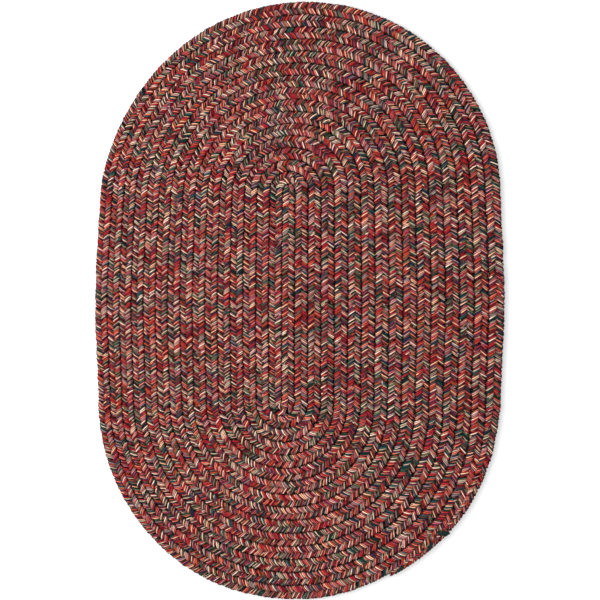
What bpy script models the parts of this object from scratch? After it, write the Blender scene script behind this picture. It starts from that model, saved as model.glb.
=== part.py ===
"""Oval braided rug: one three-strand braid, coiled flat and laced edge to edge.

The braid starts at the top of the straight run in the middle, goes down it, turns at the
bottom and winds outwards, clockwise seen from above, until its last turn thins out and is
tucked in at the lower right. The solid is the coiled rug as one flat piece: every turn of
the braid is a raised rib on both faces, with a groove where two turns are laced together.
Metres, +Z up, +Y towards the end where the braid starts, origin under the middle.
"""
import math

import bmesh
import bpy

NAME = "braided_rug"

# The braid
BRAID_WIDTH = 0.0197        # groove to groove, about three quarters of an inch
THICKNESS = 0.010           # two layers of strand
GROOVE_DEPTH = 0.0021       # of the lacing groove between two turns, on each face
CROWN = 0.2                 # half width of a rib's flat crown, in braid widths
SHOULDER = 0.45             # where the rug's outer edge rolls under, in braid widths
SHOULDER_HEIGHT = 0.64      # its height there, as a share of half the thickness
RIM = 0.55                  # the free edge bulges out past half a braid width

# The coil
START_RUN = 0.313           # straight run in the middle, from its tip to the first turn
TURNS = 15                  # rounds that close fully; the last one beside them thins out
TOP_DRAW = 0.893            # spacing of the turns over the top end, in braid widths
BOTTOM_DRAW = 0.969         # and round the bottom end
THIN_FROM = 90.0            # the last turn thins from here, in degrees clockwise from +Y
THIN_TO = 148.0             # and is tucked in here
THIN_POWER = 1.3            # above 1, it thins fastest at first

# How unevenly the oval lies: at a height from the middle, the width there as a share of an
# even oval's, and how far the middle line of the coil leans to +X
HEIGHT, WIDTH, LEAN = 0, 1, 2
OUTLINE = (
    (-0.437, 1.020, -0.0060),
    (-0.390, 0.996, -0.0040),
    (-0.300, 0.994, 0.0000),
    (-0.150, 0.984, 0.0000),
    (0.000, 1.000, 0.0000),
    (0.163, 0.976, 0.0014),
    (0.300, 0.946, 0.0042),
    (0.437, 0.932, 0.0030),
)

# Mesh steps round the coil
QUARTER_STEPS = 11          # in a quarter turn
STRAIGHT_STEPS = 6          # along a straight side

HALF_RUN = START_RUN / 2
TOP_REACH = HALF_RUN + (TURNS + RIM) * BRAID_WIDTH * TOP_DRAW
BOTTOM_REACH = HALF_RUN + (TURNS - 0.5 + RIM) * BRAID_WIDTH * BOTTOM_DRAW
MIDDLE = (TOP_REACH - BOTTOM_REACH) / 2


def clear_scene():
    for item in list(bpy.data.objects):
        bpy.data.objects.remove(item, do_unlink=True)


def outline_at(height, column):
    """Read one column of the outline table at a height, on a smooth curve through its rows."""
    below = 0
    while below < len(OUTLINE) - 2 and OUTLINE[below + 1][HEIGHT] < height:
        below += 1
    low, high = OUTLINE[below], OUTLINE[below + 1]
    before = OUTLINE[max(below - 1, 0)]
    after = OUTLINE[min(below + 2, len(OUTLINE) - 1)]
    step = high[HEIGHT] - low[HEIGHT]
    share = (height - low[HEIGHT]) / step
    slope_low = (high[column] - before[column]) / (high[HEIGHT] - before[HEIGHT]) * step
    slope_high = (after[column] - low[column]) / (after[HEIGHT] - low[HEIGHT]) * step
    eased = share * share * (3.0 - 2.0 * share)
    value = low[column] + (high[column] - low[column]) * eased
    value += slope_low * share * (1.0 - share) ** 2
    value -= slope_high * share * share * (1.0 - share)
    return value


def stations():
    """Once round the coil, clockwise from the top: centre x and y, angle, turns added."""
    places = []
    quarter = math.pi / 2
    for step in range(QUARTER_STEPS):
        places.append((0.0, HALF_RUN, quarter * step / QUARTER_STEPS, 0.0))
    for step in range(STRAIGHT_STEPS):
        height = HALF_RUN - START_RUN * step / STRAIGHT_STEPS
        places.append((0.0, height, quarter, 0.0))
    for step in range(2 * QUARTER_STEPS + 1):
        angle = quarter * (1.0 + step / QUARTER_STEPS)
        places.append((-BRAID_WIDTH / 2, -HALF_RUN, angle, 0.5))
    for step in range(1, STRAIGHT_STEPS + 1):
        height = -HALF_RUN + START_RUN * step / STRAIGHT_STEPS
        places.append((0.0, height, 3 * quarter, 1.0))
    for step in range(1, QUARTER_STEPS + 1):
        angle = quarter * (3.0 + step / QUARTER_STEPS)
        places.append((0.0, HALF_RUN, angle, 1.0))
    return places


def coil_point(station, lane):
    """Plan position of a lane, counted in braid widths from the start of the coil."""
    centre_x, centre_y, angle, added = station
    radius = (lane + added) * BRAID_WIDTH
    x = centre_x + radius * math.sin(angle)
    y = centre_y + abs(radius) * math.cos(angle)
    if y > HALF_RUN:
        y = HALF_RUN + (y - HALF_RUN) * TOP_DRAW
    if y < -HALF_RUN:
        y = -HALF_RUN + (y + HALF_RUN) * BOTTOM_DRAW
    height = y - MIDDLE
    x = x * outline_at(height, WIDTH) + outline_at(height, LEAN)
    return x, height


def cross_section(angle):
    """Lanes and heights above the middle plane, from the coil's start line to its rim."""
    crown = THICKNESS / 2
    groove = crown - GROOVE_DEPTH
    shoulder = crown * SHOULDER_HEIGHT
    section = []
    for lane in range(TURNS):
        section.append((lane - 0.5, groove))
        section.append((lane - CROWN, crown))
        section.append((lane + CROWN, crown))
    last = TURNS
    edge = last - 1 + SHOULDER
    thin = (math.degrees(angle) - THIN_FROM) / (THIN_TO - THIN_FROM)
    full = (1.0 - min(max(thin, 0.0), 1.0)) ** THIN_POWER
    # The last turn, and what its points become once it has thinned to nothing
    whole = (
        (last - 0.5, groove),
        (last - CROWN, crown),
        (last + CROWN, crown),
        (last + SHOULDER, shoulder),
        (last + RIM, 0.0),
    )
    tucked = (
        (edge, shoulder),
        (edge, shoulder),
        (edge, shoulder),
        (edge, shoulder),
        (last - 1 + RIM, 0.0),
    )
    for (lane_a, height_a), (lane_b, height_b) in zip(tucked, whole):
        lane = lane_a + (lane_b - lane_a) * full
        height = height_a + (height_b - height_a) * full
        section.append((lane, height))
    return section


def coiled_half():
    """The upper half of the rug: a grid laid along the coil, welded turn to turn."""
    places = stations()
    sections = [cross_section(place[2]) for place in places]
    rounds = len(places) - 1
    across = len(sections[0]) - 1
    half = bmesh.new()
    bmesh.ops.create_grid(half, x_segments=rounds, y_segments=across, size=1.0)
    for vertex in half.verts:
        station = round((vertex.co.x + 1.0) / 2.0 * rounds)
        column = round((vertex.co.y + 1.0) / 2.0 * across)
        lane, height = sections[station][column]
        x, y = coil_point(places[station], lane)
        vertex.co = (x, y, height)
    bmesh.ops.remove_doubles(half, verts=half.verts, dist=0.00002)
    half.normal_update()
    downward = [face for face in half.faces if face.normal.z < 0.0]
    bmesh.ops.reverse_faces(half, faces=downward)
    return half


def yarn_material():
    material = bpy.data.materials.new("red_tweed_yarn")
    material.use_nodes = True
    shader = material.node_tree.nodes["Principled BSDF"]
    shader.inputs["Base Color"].default_value = (0.21, 0.07, 0.06, 1.0)
    shader.inputs["Roughness"].default_value = 0.92
    shader.inputs["Metallic"].default_value = 0.0
    return material


def build_rug(collection):
    half = coiled_half()
    mesh = bpy.data.meshes.new(NAME)
    half.to_mesh(mesh)
    half.free()
    rug = bpy.data.objects.new(NAME, mesh)
    collection.objects.link(rug)
    mirror = rug.modifiers.new("both_faces", "MIRROR")
    mirror.use_axis = (False, False, True)
    mirror.use_mirror_merge = True
    mirror.merge_threshold = 0.00005
    mesh.shade_smooth()
    mesh.materials.append(yarn_material())
    rug.location.z = THICKNESS / 2


clear_scene()
rug_collection = bpy.data.collections.new("braided_rug_parts")
bpy.context.scene.collection.children.link(rug_collection)
build_rug(rug_collection)
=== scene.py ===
"""Looks of the oval braided rug: three strands of tweed yarn, braided along the coil.

The CAD solid is the rug as one flat piece. Here each strand is modelled at its real size,
over and under the other two, on the same coil, and its plies are ridges along it.
Metres, +Z up, in the CAD model's own frame.
"""
import math

import bpy
import numpy as np
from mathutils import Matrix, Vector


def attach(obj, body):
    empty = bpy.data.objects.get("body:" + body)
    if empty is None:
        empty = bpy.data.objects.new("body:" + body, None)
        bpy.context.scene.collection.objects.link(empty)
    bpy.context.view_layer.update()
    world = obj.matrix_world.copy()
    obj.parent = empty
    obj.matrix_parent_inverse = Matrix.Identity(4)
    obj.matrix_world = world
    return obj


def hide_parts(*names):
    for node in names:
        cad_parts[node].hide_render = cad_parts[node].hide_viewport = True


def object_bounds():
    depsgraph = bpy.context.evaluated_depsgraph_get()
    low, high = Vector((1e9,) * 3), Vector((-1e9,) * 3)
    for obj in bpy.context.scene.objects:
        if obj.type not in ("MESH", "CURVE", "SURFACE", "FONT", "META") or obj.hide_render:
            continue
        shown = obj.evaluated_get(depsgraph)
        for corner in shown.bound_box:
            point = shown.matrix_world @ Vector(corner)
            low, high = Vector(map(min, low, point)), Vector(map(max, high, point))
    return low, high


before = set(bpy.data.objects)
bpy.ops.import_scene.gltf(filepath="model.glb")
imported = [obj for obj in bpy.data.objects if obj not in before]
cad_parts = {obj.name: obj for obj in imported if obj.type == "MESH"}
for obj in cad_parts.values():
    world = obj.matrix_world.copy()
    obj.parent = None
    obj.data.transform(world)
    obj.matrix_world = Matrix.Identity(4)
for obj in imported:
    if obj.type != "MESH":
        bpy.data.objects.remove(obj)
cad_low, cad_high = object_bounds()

RUG = "braided_rug"
QUARTER_TURN = math.pi / 2
FULL_TURN = 2 * math.pi

# The coil, as in the CAD model
BRAID_WIDTH = 0.0197        # groove to groove
THICKNESS = cad_high.z - cad_low.z
START_RUN = 0.313           # straight run in the middle, from its tip to the first turn
TURNS = 15                  # rounds that close fully; the last one beside them thins out
TOP_DRAW = 0.893            # spacing of the turns over the top end, in braid widths
BOTTOM_DRAW = 0.969         # and round the bottom end
RIM = 0.55                  # the free edge bulges out past half a braid width
THIN_FROM = math.radians(87.0)      # the last turn thins from here, clockwise from +Y
THIN_TO = math.radians(147.0)       # and is tucked in here
THIN_POWER = 1.6            # above 1, it thins fastest at first

# How unevenly the oval lies: at a height from the middle, the width there as a share of an
# even oval's, and how far the middle line of the coil leans to +X
HEIGHT, WIDTH, LEAN = 0, 1, 2
OUTLINE = np.array((
    (-0.437, 1.020, -0.0060),
    (-0.390, 0.996, -0.0040),
    (-0.300, 0.994, 0.0000),
    (-0.150, 0.984, 0.0000),
    (0.000, 1.000, 0.0000),
    (0.163, 0.976, 0.0014),
    (0.300, 0.946, 0.0042),
    (0.437, 0.932, 0.0030),
))
HALF_RUN = START_RUN / 2
TOP_REACH = HALF_RUN + (TURNS + RIM) * BRAID_WIDTH * TOP_DRAW
BOTTOM_REACH = HALF_RUN + (TURNS - 0.5 + RIM) * BRAID_WIDTH * BOTTOM_DRAW
MIDDLE = (TOP_REACH - BOTTOM_REACH) / 2

# The last round, which is the rug's free edge: its ends are drawn in to this share of a circle's
LAST_ROUND_DRAW = 0.95
LAST_ROUND = 2 * START_RUN + FULL_TURN * (TURNS - 0.5) * BRAID_WIDTH * LAST_ROUND_DRAW

# The braid
STRANDS = 3
PERIOD = 0.0300             # along the braid, in which a strand crosses and comes back
SWING = 0.0082              # of a strand to each side of the braid's middle
STRAIGHTNESS = 0.95         # of a crossing: 0 sways like a sine, 1 like a zigzag
LIFT = 0.0026               # of a strand above and below the rug's middle plane
STEEPNESS = 1.0             # of its climb and dive
SLIP = 1.2                  # how much faster it moves along on top and below than in between
PINCH = 0.12                # how much narrower it is in the middle of the braid
SPREAD = 0.30               # and how much wider where it goes round the edge
RIM_SWING = 0.12            # how much further it swings out at the rug's free edge
STRAND_WIDTH = 0.0084
STRAND_HEIGHT = 0.0048

# Its start and its end
START_TIP = 0.0085          # the braid's start reaches this far above the straight run
TIP_TAPER = 0.012           # the strands close up over this length at the start and end
START_SWING = 0.30          # share of its swing and size that a strand keeps at the start
START_SIZE = 0.55
END_SWING = 0.32            # share of its swing, lift and size that it keeps where the last
END_RISE = 0.7              # turn has thinned to nothing
END_SIZE = 0.72
END_TIP_SIZE = 0.45         # and of its size at the very end
END_LAP = 0.0008            # how far the thinned end laps up over the turn inside it

# What the hand leaves uneven: over which length each changes, and how far to either side
UNEVEN_PLACE = 0.021, 0.0013        # of each strand along the braid
UNEVEN_SWING = 0.017, 0.07          # as a share of the swing
UNEVEN_LEVEL = 0.019, 0.00025       # up and down
UNEVEN_SIZE = 0.021, 0.08           # as a share of the strand's size
PULL_LENGTH, PULL = 0.05, 0.0018    # of all three strands together, along the braid

# The plies
PLIES = 10
PLY_RELIEF = 0.20           # depth between two plies, as a share of the strand's half width
ROLL = 0.05, 0.5            # of the plies round the strand: over which length, and how far

# The green stitches over the end: each one's angle clockwise from +Y and its slant along the
# coil, in degrees, and how far in and out of the braid's middle it reaches, in braid widths
STITCHES = (
    (127.2, -0.5, -0.20, 0.36),
    (128.1, -0.7, -0.50, 0.32),
    (132.8, 1.8, -0.16, 0.20),
    (143.0, 1.3, -0.10, 0.16),
)
STITCH_WIDTH = 0.0042
STITCH_HEIGHT = 0.0026
STITCH_TIP_SIZE = 0.7       # share of its size that a stitch keeps where it goes in
STITCH_TOP = 0.0098
STITCH_FOOT = 0.0050
STITCH_ARCH = 1.35          # of the quarter turn, in radians, that its back is rounded over
STITCH_TWIST = 0.006        # length over which its plies turn by a radian
STITCH_RINGS = 17

# Steps
RINGS_PER_PERIOD = 10
BEND_RINGS = 1.5            # share of the rings placed by bend, for one placed by length
FINE_STEPS = 720            # of a period, when its rings are placed
NUDGE = 0.01                # of phase, to either side, over which a slope is taken
ASIDE = 0.1                 # of a braid width, over which the way outwards is taken
SIDES = 2 * PLIES
TIP_RINGS = (0.0, 0.85)     # size of the two small rings that close a strand
COIL_STEP = 0.004           # between points of the coil's middle line
MERGE = 0.000001            # points nearer than this are one
BAKE_MARGIN = 0.02          # share of a stripe of the bake map that is left clear at each side

# The yarns that the tweed is spun from: families from green to red, as much of each, with their
# yarns from dark to bright and how much of the family each one is
YARNS = (
    (
        ("bottle_green", (24, 50, 46), 0.29),
        ("pine", (42, 84, 86), 0.18),
        ("moss", (106, 110, 82), 0.25),
        ("oatmeal", (198, 178, 149), 0.28),
    ),
    (
        ("navy", (36, 42, 70), 0.17),
        ("umber", (84, 60, 50), 0.24),
        ("lilac_grey", (150, 130, 140), 0.15),
        ("taupe", (156, 124, 106), 0.24),
        ("cream", (250, 214, 190), 0.20),
    ),
    (
        ("plum", (107, 47, 72), 0.30),
        ("dusty_rose", (206, 144, 142), 0.36),
        ("peach", (253, 185, 147), 0.34),
    ),
    (
        ("maroon", (110, 28, 37), 0.20),
        ("rose", (188, 82, 93), 0.43),
        ("coral", (241, 116, 96), 0.29),
        ("cream", (250, 214, 190), 0.08),
    ),
    (
        ("maroon", (110, 28, 37), 0.20),
        ("crimson", (186, 36, 50), 0.47),
        ("brick", (201, 77, 54), 0.33),
    ),
)
STITCH_YARNS = (
    (("bottle_green", (26, 48, 42), 0.4), ("pine", (34, 70, 64), 0.6)),
)
COLOUR_LENGTH = 0.020       # of ply, spun in one colour
PLY_STEP = 0.382            # of a family's range, from a ply to the next, so that they differ
PLY_CHANCE = 0.30           # and how much of the range is left to chance
ZONE_LENGTH = 0.045         # of braid, over which greener or redder yarns gather
ZONE_STEP = 0.5             # of a zone's width, from a strand to the next
ZONE_PULL = 1.3             # how strongly the zones tell
OWN_DRAW, SHARED_DRAW = 100.0, 7.0  # steps aside in the noise, so that each draw is another
FAMILY_MARGIN = 0.01        # keeps the highest draw inside the last family

# Fibres, painted shade and relief
STREAKS = 6.0, 260.0        # of fibre, across a ply and in a metre along it
STREAK_DETAIL = 2.0, 0.6
STREAK_PULL = 0.004         # how far the fibres of a colour reach into the next
STREAK_DARK, STREAK_LIGHT = 0.6, 0.85       # a streak's shade: the least, and what is added
ZONE_DETAIL = 1.0, 0.5
CREVICE_SHADE_COLOUR = (27, 28, 22)      # painted shade colour, between plies and deep in the braid
SHADED_PLY_SHARE = 0.38        # of a ply's roundness that stays in painted shade
SHADE_EDGE = 2.6          # how sharply the painted shade gives way to light above that
# depths below the face where the painted shade deep in the braid starts and where it is full
SHADE_START_DEPTH, SHADE_FULL_DEPTH = 0.0016, 0.0038
TWIST_LENGTH = 0.0016       # of a ply's own yarn
TWIST_SLANT = 1.3           # turns of it across a ply
TWIST_RELIEF, STREAK_RELIEF = 0.10, 0.25
BUMP_STRENGTH, BUMP_HEIGHT = 0.9, 0.0008
YARN_ROUGHNESS, YARN_GLOSS = 0.95, 0.05

# The camera stands over the rug, turned a little to its right side
CAMERA_DISTANCE = 1.2
CAMERA_TURN = math.radians(12.746)
PHOTO_WIDTH = 600
FOCAL_PIXELS = 818.6
AXIS_PIXEL = (288.4, 301.0)
SENSOR = 36.0

# Soft light from all round, and more from the left, over a white floor
SOFTBOX_PLACE = (-1.1, 0.3, 0.9)
SOFTBOX_SIZE = 1.2
SOFTBOX_POWER = 14.0
ROOM_LIGHT = 1.15
FLOOR_SIZE = 8.0
FLOOR_LEVEL = -0.0002
FLOOR_WHITE = 0.92
FLOOR_ROUGHNESS = 0.9

rng = np.random.default_rng(16)


def outline_at(height, column):
    """Read one column of the outline table at each height, on a smooth curve through its rows."""
    below = np.searchsorted(OUTLINE[:, HEIGHT], height) - 1
    below = np.clip(below, 0, len(OUTLINE) - 2)
    low, high = OUTLINE[below], OUTLINE[below + 1]
    before = OUTLINE[np.maximum(below - 1, 0)]
    after = OUTLINE[np.minimum(below + 2, len(OUTLINE) - 1)]
    step = high[:, HEIGHT] - low[:, HEIGHT]
    share = (height - low[:, HEIGHT]) / step
    slope_low = (high[:, column] - before[:, column]) / (high[:, HEIGHT] - before[:, HEIGHT]) * step
    slope_high = (after[:, column] - low[:, column]) / (after[:, HEIGHT] - low[:, HEIGHT]) * step
    eased = share * share * (3.0 - 2.0 * share)
    value = low[:, column] + (high[:, column] - low[:, column]) * eased
    value += slope_low * share * (1.0 - share) ** 2
    value -= slope_high * share * share * (1.0 - share)
    return value


def coil_point(centre_x, centre_y, angle, turns):
    """Plan position at a radius of so many turns, on an arc with this centre."""
    radius = turns * BRAID_WIDTH
    x = centre_x + radius * np.sin(angle)
    y = centre_y + np.abs(radius) * np.cos(angle)
    y = np.where(y > HALF_RUN, HALF_RUN + (y - HALF_RUN) * TOP_DRAW, y)
    y = np.where(y < -HALF_RUN, -HALF_RUN + (y + HALF_RUN) * BOTTOM_DRAW, y)
    height = y - MIDDLE
    x = x * outline_at(height, WIDTH) + outline_at(height, LEAN)
    return x, height


def fullness(angle):
    """How much of the last turn's width is left at an angle, where it thins."""
    return (1.0 - (angle - THIN_FROM) / (THIN_TO - THIN_FROM)) ** THIN_POWER


class Coil:
    """The braid's middle line, read by the distance along it."""

    def __init__(self):
        self.rows = []      # of centre x, centre y, angle, radius in turns and fullness
        for turn in range(TURNS + 1):
            last = turn == TURNS
            top = HALF_RUN
            if turn == 0:
                top += START_TIP / TOP_DRAW
            else:
                self.bend(0.0, HALF_RUN, 0.0, QUARTER_TURN, turn)
            self.straight(top, -HALF_RUN, QUARTER_TURN, turn)
            end = THIN_TO if last else 3 * QUARTER_TURN
            self.bend(-BRAID_WIDTH / 2, -HALF_RUN, QUARTER_TURN, end, turn + 0.5, last)
            if not last:
                self.straight(-HALF_RUN, HALF_RUN, 3 * QUARTER_TURN, turn + 1)
                self.bend(0.0, HALF_RUN, 3 * QUARTER_TURN, 4 * QUARTER_TURN, turn + 1)
        self.rows = np.array(self.rows)
        x, y = coil_point(*self.rows[:, :4].T)
        steps = np.hypot(np.diff(x), np.diff(y))
        self.distance = np.concatenate(([0.0], np.cumsum(steps)))
        self.length = self.distance[-1]

    def straight(self, start, end, angle, turns):
        for y in np.linspace(start, end, round(abs(end - start) / COIL_STEP)):
            self.rows.append((0.0, y, angle, turns, 1.0))

    def bend(self, x, y, start, end, turns, thins=False):
        count = round((end - start) * turns * BRAID_WIDTH / COIL_STEP)
        for angle in np.linspace(start, end, count):
            full = fullness(angle) if thins else 1.0
            inward = 0.5 * (1.0 - full)
            self.rows.append((x, y, angle, turns - inward, full))

    def at(self, distance):
        return [np.interp(distance, self.distance, column) for column in self.rows.T]


def wander(distance, wavelength, amount):
    """A smooth random wave along the braid, to each side of nothing."""
    place = np.maximum(distance, 0.0) / wavelength
    below = place.astype(int)
    share = ease(place - below)
    knots = rng.uniform(-amount, amount, below.max() + 2)
    return knots[below] * (1.0 - share) + knots[below + 1] * share


def unit(vectors):
    return vectors / np.linalg.norm(vectors, axis=1)[:, None]


def ease(share):
    """From 0 to 1, slowly at both ends."""
    share = np.clip(share, 0.0, 1.0)
    return share * share * (3.0 - 2.0 * share)


def at_least(least, share):
    """From this least part up to the whole."""
    return least + (1.0 - least) * share


def length_along(centre):
    """How far along a strand or stitch each of its rings is."""
    steps = np.linalg.norm(np.diff(centre, axis=0), axis=1)
    return np.concatenate(([0.0], np.cumsum(steps)))


def sway(phase):
    """To each side of the braid's middle, straight across and turned sharply at the edges."""
    return np.arcsin(STRAIGHTNESS * np.sin(phase)) / math.asin(STRAIGHTNESS)


def rise(phase):
    """Above on the way out from the middle, below on the way back."""
    return np.tanh(STEEPNESS * np.sin(2 * phase)) / math.tanh(STEEPNESS)


def one_period():
    """Phases of a period's rings, closer where the strand bends, and how far along each lies.

    A strand goes round a flat figure of eight, as seen down the braid, and moves along.
    """
    fine = np.linspace(0.0, FULL_TURN, FINE_STEPS + 1)
    loop = np.stack((SWING * sway(fine), LIFT * rise(fine)))
    around = np.linalg.norm(np.gradient(loop, axis=1), axis=0)
    around *= 1.0 + SLIP * (np.abs(rise(fine)) - 0.5)
    progress = np.concatenate(([0.0], np.cumsum((around[1:] + around[:-1]) / 2)))
    progress /= progress[-1]
    along = np.gradient(np.vstack((loop, PERIOD * progress)), axis=1)
    step = np.linalg.norm(along, axis=0)
    bend = np.linalg.norm(np.gradient(along / step, axis=1), axis=0)
    need = np.cumsum(step / step.mean() + BEND_RINGS * bend / bend.mean())
    need -= need[0]
    phase = np.interp(need[-1] * np.arange(RINGS_PER_PERIOD) / RINGS_PER_PERIOD, need, fine)
    return phase, np.interp(phase, fine, progress)


class Strand:
    """One strand's rings: where each is, how it faces, how large it is and how it is turned."""

    def __init__(self, coil, number, pull):
        phase, distance = self.even_rings(coil, number)
        distance = distance + np.interp(distance, *pull)
        distance += wander(distance, *UNEVEN_PLACE)
        distance = np.clip(distance, 0.0, coil.length)
        centre_x, centre_y, angle, turns, full = coil.at(distance)
        from_start = ease(distance / TIP_TAPER)
        from_end = ease((coil.length - distance) / TIP_TAPER)

        swing = SWING / BRAID_WIDTH * sway(phase)
        swing *= at_least(START_SWING, from_start) * at_least(END_SWING, full)
        swing *= 1.0 + wander(distance, *UNEVEN_SWING)
        last_round = ease((distance - coil.length + LAST_ROUND) / BRAID_WIDTH)
        swing *= 1.0 + RIM_SWING * last_round * (swing > 0)
        x, y = coil_point(centre_x, centre_y, angle, turns + swing)
        z = THICKNESS / 2 + LIFT * rise(phase) * at_least(END_RISE, full)
        z += END_LAP * (1.0 - full)
        z += wander(distance, *UNEVEN_LEVEL)
        self.centre = np.stack((x, y, z), axis=1)

        # It lies flat along its path, like a ribbon wound round the figure of eight
        aside = coil_point(centre_x, centre_y, angle, turns + swing + ASIDE)
        across = unit(np.stack(aside, axis=1) - self.centre[:, :2])
        outward = SWING * (sway(phase + NUDGE) - sway(phase - NUDGE))
        upward = LIFT * (rise(phase + NUDGE) - rise(phase - NUDGE))
        face = np.column_stack((-upward[:, None] * across, outward))
        along = np.gradient(self.centre, axis=0)
        self.side = unit(np.cross(along, face))
        self.up = unit(np.cross(self.side, along))

        size = at_least(START_SIZE, from_start) * at_least(END_TIP_SIZE, from_end)
        size *= at_least(END_SIZE, full)
        size *= 1.0 + wander(distance, *UNEVEN_SIZE)
        shape = 1.0 - PINCH * np.cos(phase) ** 4 + SPREAD * np.sin(phase) ** 4
        self.half_width = STRAND_WIDTH / 2 * size * shape
        self.half_height = STRAND_HEIGHT / 2 * size
        self.length = length_along(self.centre)
        self.turned = wander(self.length, *ROLL)

    @staticmethod
    def even_rings(coil, number):
        """Phase and distance of its rings in an even braid, a third of a period after the last."""
        periods = round(coil.length / PERIOD)
        phase, progress = one_period()
        whole = np.arange(periods + 1)[:, None]
        progress = (whole + progress).ravel() - number / STRANDS
        inside = (progress >= 0.0) & (progress <= periods)
        phase = np.tile(phase, periods + 1)
        return phase[inside], progress[inside] * (coil.length / periods)


class Stitch:
    """One short stitch of thick yarn, arched over the thinned end of the braid."""

    def __init__(self, angle, slant, inner, outer):
        place = np.linspace(-STITCH_ARCH, STITCH_ARCH, STITCH_RINGS)
        across = np.sin(place)
        angle = np.radians(angle + slant * across)
        turns = TURNS + fullness(angle) / 2 + inner + (outer - inner) * (across + 1.0) / 2
        x, y = coil_point(-BRAID_WIDTH / 2, -HALF_RUN, angle, turns)
        z = STITCH_FOOT + (STITCH_TOP - STITCH_FOOT) * np.cos(place)
        self.centre = np.stack((x, y, z), axis=1)
        along = np.gradient(self.centre, axis=0)
        self.side = unit(np.cross(along, (0.0, 0.0, 1.0)))
        self.up = unit(np.cross(self.side, along))
        size = at_least(STITCH_TIP_SIZE, np.cos(place))
        self.half_width = STITCH_WIDTH / 2 * size
        self.half_height = STITCH_HEIGHT / 2 * size
        self.length = length_along(self.centre)
        self.turned = self.length / STITCH_TWIST


def clear_selection():
    bpy.ops.object.select_all(action="DESELECT")


def strand_piece(name, strand, number, first, last):
    """A tube of lobed rings, from a grid rolled up round the strand's line."""
    clear_selection()
    rings = last - first + 1 + 2 * len(TIP_RINGS)
    bpy.ops.mesh.primitive_grid_add(x_subdivisions=SIDES, y_subdivisions=rings - 1, size=1.0)
    piece = bpy.context.object
    piece.name = piece.data.name = name
    mesh = piece.data
    flat = np.empty(len(mesh.vertices) * 3, dtype=np.float32)
    mesh.vertices.foreach_get("co", flat)
    flat = flat.reshape(-1, 3)
    column = np.rint((flat[:, 0] + 0.5) * SIDES).astype(int)
    row = np.rint((flat[:, 1] + 0.5) * (rings - 1)).astype(int)
    # Small rings at each end close the tube inside the next stretch of the strand
    ring = np.clip(row + first - len(TIP_RINGS), 0, len(strand.centre) - 1)
    scale = np.ones(rings)
    scale[:len(TIP_RINGS)] = TIP_RINGS
    scale[-len(TIP_RINGS):] = TIP_RINGS[::-1]
    scale = scale[row]
    turned = FULL_TURN * (column % SIDES) / SIDES + strand.turned[ring]
    lobe = 1.0 - PLY_RELIEF * (column % 2 == 0)
    across = strand.half_width[ring] * lobe * scale * np.cos(turned)
    above = strand.half_height[ring] * lobe * scale * np.sin(turned)
    place = strand.centre[ring] + strand.side[ring] * across[:, None]
    place += strand.up[ring] * above[:, None]
    mesh.vertices.foreach_set("co", place.astype(np.float32).ravel())
    corner = np.empty(len(mesh.loops), dtype=int)
    mesh.loops.foreach_get("vertex_index", corner)
    yarn_map(mesh, corner, column, strand.length[ring], number)
    bake_map(mesh, corner, column, row, rings, strand)
    bpy.ops.object.mode_set(mode="EDIT")
    bpy.ops.mesh.select_all(action="SELECT")
    bpy.ops.mesh.remove_doubles(threshold=MERGE)
    bpy.ops.object.mode_set(mode="OBJECT")
    mesh.shade_smooth()
    return piece


def yarn_map(mesh, corner, column, length, number):
    """A ply to each unit across, from one crevice to the next, and metres of yarn along."""
    plies = column / 2 + number * (PLIES + 1)
    layer = mesh.uv_layers.active
    layer.name = "Yarn"
    values = np.stack((plies[corner], length[corner]), axis=1)
    layer.uv.foreach_set("vector", values.astype(np.float32).ravel())


def bake_map(mesh, corner, column, row, rings, strand):
    """The strand cut into lengths and laid side by side over a square."""
    girth = math.pi * math.sqrt((STRAND_WIDTH ** 2 + STRAND_HEIGHT ** 2) / 2)
    ring_length = strand.length[-1] / (len(strand.length) - 1)
    stripes = max(1, round(math.sqrt(rings * ring_length / girth)))
    per_stripe = math.ceil((rings - 1) / stripes)
    lowest = row[corner.reshape(-1, 4)].min(axis=1)
    stripe = np.repeat(lowest // per_stripe, 4)
    along = (row[corner] - stripe * per_stripe) / per_stripe
    around = BAKE_MARGIN + (1.0 - 2 * BAKE_MARGIN) * column[corner] / SIDES
    layer = mesh.uv_layers.new(name="OFBake", do_init=False)
    values = np.stack((along, (stripe + around) / stripes), axis=1)
    layer.uv.foreach_set("vector", values.astype(np.float32).ravel())


class Wire:
    """A value in a material: an expression on wires adds its Math nodes."""

    def __init__(self, socket):
        self.socket = socket
        self.tree = socket.id_data

    def maths(self, operation, other=None, swapped=False):
        values = [self] if other is None else [self, other]
        if swapped:
            values.reverse()
        return self.node("ShaderNodeMath", {"operation": operation}, *values)

    def node(self, kind, settings=(), *values, output=0, **named):
        made = self.tree.nodes.new(kind)
        for key, value in dict(settings).items():
            setattr(made, key, value)
        for key, value in [*enumerate(values), *named.items()]:
            socket = made.inputs[key]
            if isinstance(value, Wire):
                self.tree.links.new(value.socket, socket)
            else:
                socket.default_value = value
        return Wire(made.outputs[output])

    def __add__(self, other):
        return self.maths("ADD", other)

    def __radd__(self, other):
        return self.maths("ADD", other, True)

    def __sub__(self, other):
        return self.maths("SUBTRACT", other)

    def __rsub__(self, other):
        return self.maths("SUBTRACT", other, True)

    def __mul__(self, other):
        return self.maths("MULTIPLY", other)

    def __rmul__(self, other):
        return self.maths("MULTIPLY", other, True)

    def __truediv__(self, other):
        return self.maths("DIVIDE", other)

    def __rtruediv__(self, other):
        return self.maths("DIVIDE", other, True)

    def floor(self):
        return self.maths("FLOOR")

    def fraction(self):
        return self.maths("FRACT")

    def clamped(self):
        return self.node("ShaderNodeClamp", (), self)


def linear(red, green, blue):
    """A colour given as it shows on a screen, 0 to 255, in linear light."""
    shades = []
    for shade in (red, green, blue):
        shade /= 255.0
        shades.append(shade / 12.92 if shade <= 0.04045 else ((shade + 0.055) / 1.055) ** 2.4)
    return (*shades, 1.0)


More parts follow.
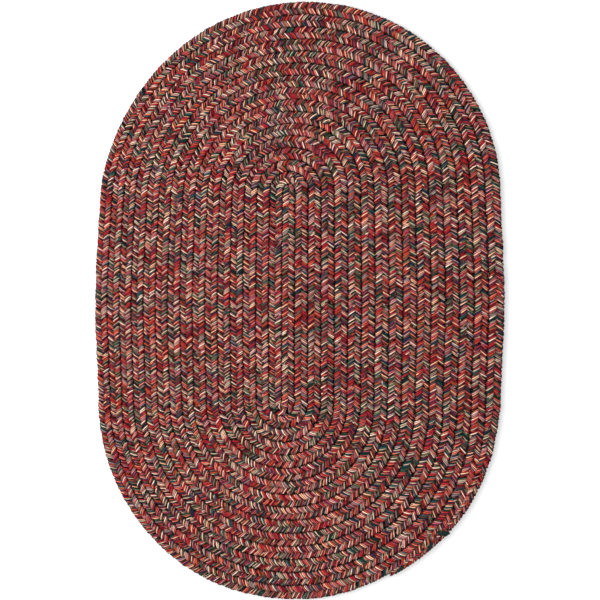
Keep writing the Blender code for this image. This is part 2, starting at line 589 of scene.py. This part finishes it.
def drawn(lane, cell):
    """A number from 0 to 1, drawn afresh for each lane and each cell along it."""
    spot = lane.node("ShaderNodeCombineXYZ", (), lane, cell)
    return lane.node("ShaderNodeTexWhiteNoise", {"noise_dimensions": "2D"}, spot, output="Value")


def clouds(across, along, detail, roughness):
    """Smooth noise from 0 to 1, about a cloud to each unit across and along."""
    spot = across.node("ShaderNodeCombineXYZ", (), across, along)
    return across.node(
        "ShaderNodeTexNoise", {"noise_dimensions": "2D"}, spot,
        output="Fac", Scale=1.0, Detail=detail, Roughness=roughness,
    )


def yarn_ramp(yarns, where):
    """The yarn colours in steps, family by family, each as wide as its share."""
    ramp = where.node("ShaderNodeValToRGB", (), where)
    stops = ramp.socket.node.color_ramp
    stops.interpolation = "CONSTANT"
    steps = [(colour, share / len(yarns)) for family in yarns for _, colour, share in family]
    edge = 0.0
    for number, (colour, width) in enumerate(steps):
        stop = stops.elements[number] if number < 2 else stops.elements.new(edge)
        stop.position = edge
        stop.color = linear(*colour)
        edge += width
    return ramp


def yarn_colour(yarns, ply, along, streaks):
    """The yarn that a ply shows: its family by zone and chance, its tone unlike its neighbours'."""
    strand = (ply / (PLIES + 1)).floor()
    start = ply.node(
        "ShaderNodeTexWhiteNoise", {"noise_dimensions": "1D"}, output="Value", W=ply + 0.5
    )
    cell = ((along + STREAK_PULL * streaks) / COLOUR_LENGTH + start).floor()
    shared = drawn(strand - SHARED_DRAW, cell)
    own = drawn(ply + OWN_DRAW, cell)
    tone = (ply * PLY_STEP + shared + own * PLY_CHANCE).fraction()
    place = (cell - start) * (COLOUR_LENGTH / ZONE_LENGTH)
    zone = clouds(strand * ZONE_STEP, place, *ZONE_DETAIL)
    family = (drawn(ply, cell) + (zone - 0.5) * ZONE_PULL).clamped()
    family = (family * (len(yarns) - FAMILY_MARGIN)).floor()
    return yarn_ramp(yarns, (family + tone) / len(yarns))


def plied_yarn(name, yarns):
    """Plies of changing colour, rounded, streaked and spun, with painted shade in the crevices
    between them and deep in the braid.
    """
    material = bpy.data.materials.new(name)
    material.use_nodes = True
    tree = material.node_tree
    shader = tree.nodes["Principled BSDF"]
    placed = tree.nodes.new("ShaderNodeUVMap")
    placed.uv_map = "Yarn"
    place = Wire(placed.outputs["UV"])
    across = place.node("ShaderNodeSeparateXYZ", (), place)
    along = Wire(across.socket.node.outputs["Y"])
    ply = across.floor()
    inside = across.fraction()
    streaks = clouds(across * STREAKS[0], along * STREAKS[1], *STREAK_DETAIL)
    colour = yarn_colour(yarns, ply, along, streaks)

    # A ply is rounded; painted shade darkens it where it meets the next, and darkens what lies deep
    # in the braid
    crown = inside * (1.0 - inside) * 4.0
    height = across.node(
        "ShaderNodeSeparateXYZ", (), across.node("ShaderNodeTexCoord", output="Object"), output="Z"
    )
    depth = THICKNESS / 2 - (height - THICKNESS / 2).maths("ABSOLUTE")
    # Painted shade deep in the braid: 1 near the face, 0 from the full shade depth down
    high = 1.0 - ((depth - SHADE_START_DEPTH) / (SHADE_FULL_DEPTH - SHADE_START_DEPTH)).clamped()
    painted_light = ((crown - SHADED_PLY_SHARE) * SHADE_EDGE).clamped() * high
    # Painted shade: the crevice colour, as strong as the place is unlit
    painted_shade = across.node(
        "ShaderNodeVectorMath", {"operation": "SCALE"}, linear(*CREVICE_SHADE_COLOUR)[:3], Scale=1.0 - painted_light
    )
    # The painted light times the fibre streaks' own tone
    painted_light_and_streaks = painted_light * (STREAK_DARK + STREAK_LIGHT * streaks)
    shaded = across.node(
        "ShaderNodeVectorMath", {"operation": "MULTIPLY_ADD"}, colour, painted_light_and_streaks, painted_shade
    )
    tree.links.new(shaded.socket, shader.inputs["Base Color"])

    # Each ply is itself spun: fine slanting ridges over its rounded back
    twist = ((along / TWIST_LENGTH + inside * TWIST_SLANT) * FULL_TURN).maths("SINE")
    relief = crown.maths("SQRT") + TWIST_RELIEF * twist + STREAK_RELIEF * streaks
    bump = across.node(
        "ShaderNodeBump", (), output="Normal",
        Strength=BUMP_STRENGTH, Distance=BUMP_HEIGHT, Height=relief,
    )
    tree.links.new(bump.socket, shader.inputs["Normal"])
    shader.inputs["Roughness"].default_value = YARN_ROUGHNESS
    shader.inputs["Specular IOR Level"].default_value = YARN_GLOSS
    return material


def build_strands(coil, material):
    """Each strand in two stretches, the inner half of the coil and the outer half."""
    knots = np.arange(0.0, coil.length + PULL_LENGTH, PULL_LENGTH)
    pull = knots, rng.uniform(-PULL, PULL, len(knots))
    halves = {"inner": [], "outer": []}
    for number in range(STRANDS):
        strand = Strand(coil, number, pull)
        end = len(strand.centre) - 1
        middle = end // 2
        for half, first, last in (("inner", 0, middle), ("outer", middle, end)):
            piece = strand_piece(f"strand_{number + 1}_{half}", strand, number, first, last)
            piece.data.materials.append(material)
            halves[half].append(piece)
    return halves


def sew_end(material):
    """The stitches, each a short piece of plied yarn like the strands."""
    stitches = []
    for number, measures in enumerate(STITCHES):
        name = f"end_stitch_{number + 1}"
        piece = strand_piece(name, Stitch(*measures), number, 0, STITCH_RINGS - 1)
        piece.data.materials.append(material)
        stitches.append(piece)
    return stitches


def declare(halves, stitches):
    """Hang every strand piece and stitch on the root, and hide the CAD rug. Half the length of
    braid covers half the rug: an oval inside, and the ring round it.
    """
    for half, pieces in halves.items():
        for piece in pieces:
            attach(piece, "root")
            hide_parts(RUG)
    for piece in stitches:
        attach(piece, "root")


def build_floor():
    clear_selection()
    bpy.ops.mesh.primitive_plane_add(size=FLOOR_SIZE, location=(0.0, 0.0, FLOOR_LEVEL))
    floor = bpy.context.object
    floor.name = "floor"
    material = bpy.data.materials.new("pale_floor")
    material.use_nodes = True
    shader = material.node_tree.nodes["Principled BSDF"]
    shader.inputs["Base Color"].default_value = (FLOOR_WHITE, FLOOR_WHITE, FLOOR_WHITE, 1.0)
    shader.inputs["Roughness"].default_value = FLOOR_ROUGHNESS
    floor.data.materials.append(material)


def light_studio():
    """A white room and one soft lamp at the left."""
    world = bpy.data.worlds.new("studio")
    world.use_nodes = True
    background = world.node_tree.nodes["Background"]
    background.inputs["Color"].default_value = (1.0, 1.0, 1.0, 1.0)
    background.inputs["Strength"].default_value = ROOM_LIGHT
    bpy.context.scene.world = world
    bpy.ops.object.light_add(type="AREA", location=SOFTBOX_PLACE)
    lamp = bpy.context.object
    lamp.name = "softbox"
    lamp.data.size = SOFTBOX_SIZE
    lamp.data.energy = SOFTBOX_POWER
    lamp.rotation_euler = (-lamp.location).to_track_quat("-Z", "Y").to_euler()


def place_camera():
    """The photo's view: from above and a little to the right, square to the rug's length."""
    data = bpy.data.cameras.new("photo_camera")
    camera = bpy.data.objects.new("photo_camera", data)
    bpy.context.scene.collection.objects.link(camera)
    data.sensor_width = SENSOR
    data.lens = FOCAL_PIXELS / PHOTO_WIDTH * SENSOR
    data.shift_x = (PHOTO_WIDTH / 2 - AXIS_PIXEL[0]) / PHOTO_WIDTH
    data.shift_y = (AXIS_PIXEL[1] - PHOTO_WIDTH / 2) / PHOTO_WIDTH
    camera.rotation_euler = (0.0, CAMERA_TURN, 0.0)
    aside = CAMERA_DISTANCE * math.sin(CAMERA_TURN)
    above = CAMERA_DISTANCE * math.cos(CAMERA_TURN)
    camera.location = (aside, 0.0, THICKNESS / 2 + above)
    bpy.context.scene.camera = camera


bpy.context.scene.view_settings.view_transform = "Standard"
coil = Coil()
halves = build_strands(coil, plied_yarn("tweed_yarn", YARNS))
stitches = sew_end(plied_yarn("green_yarn", STITCH_YARNS))
declare(halves, stitches)
build_floor()
light_studio()
place_camera()
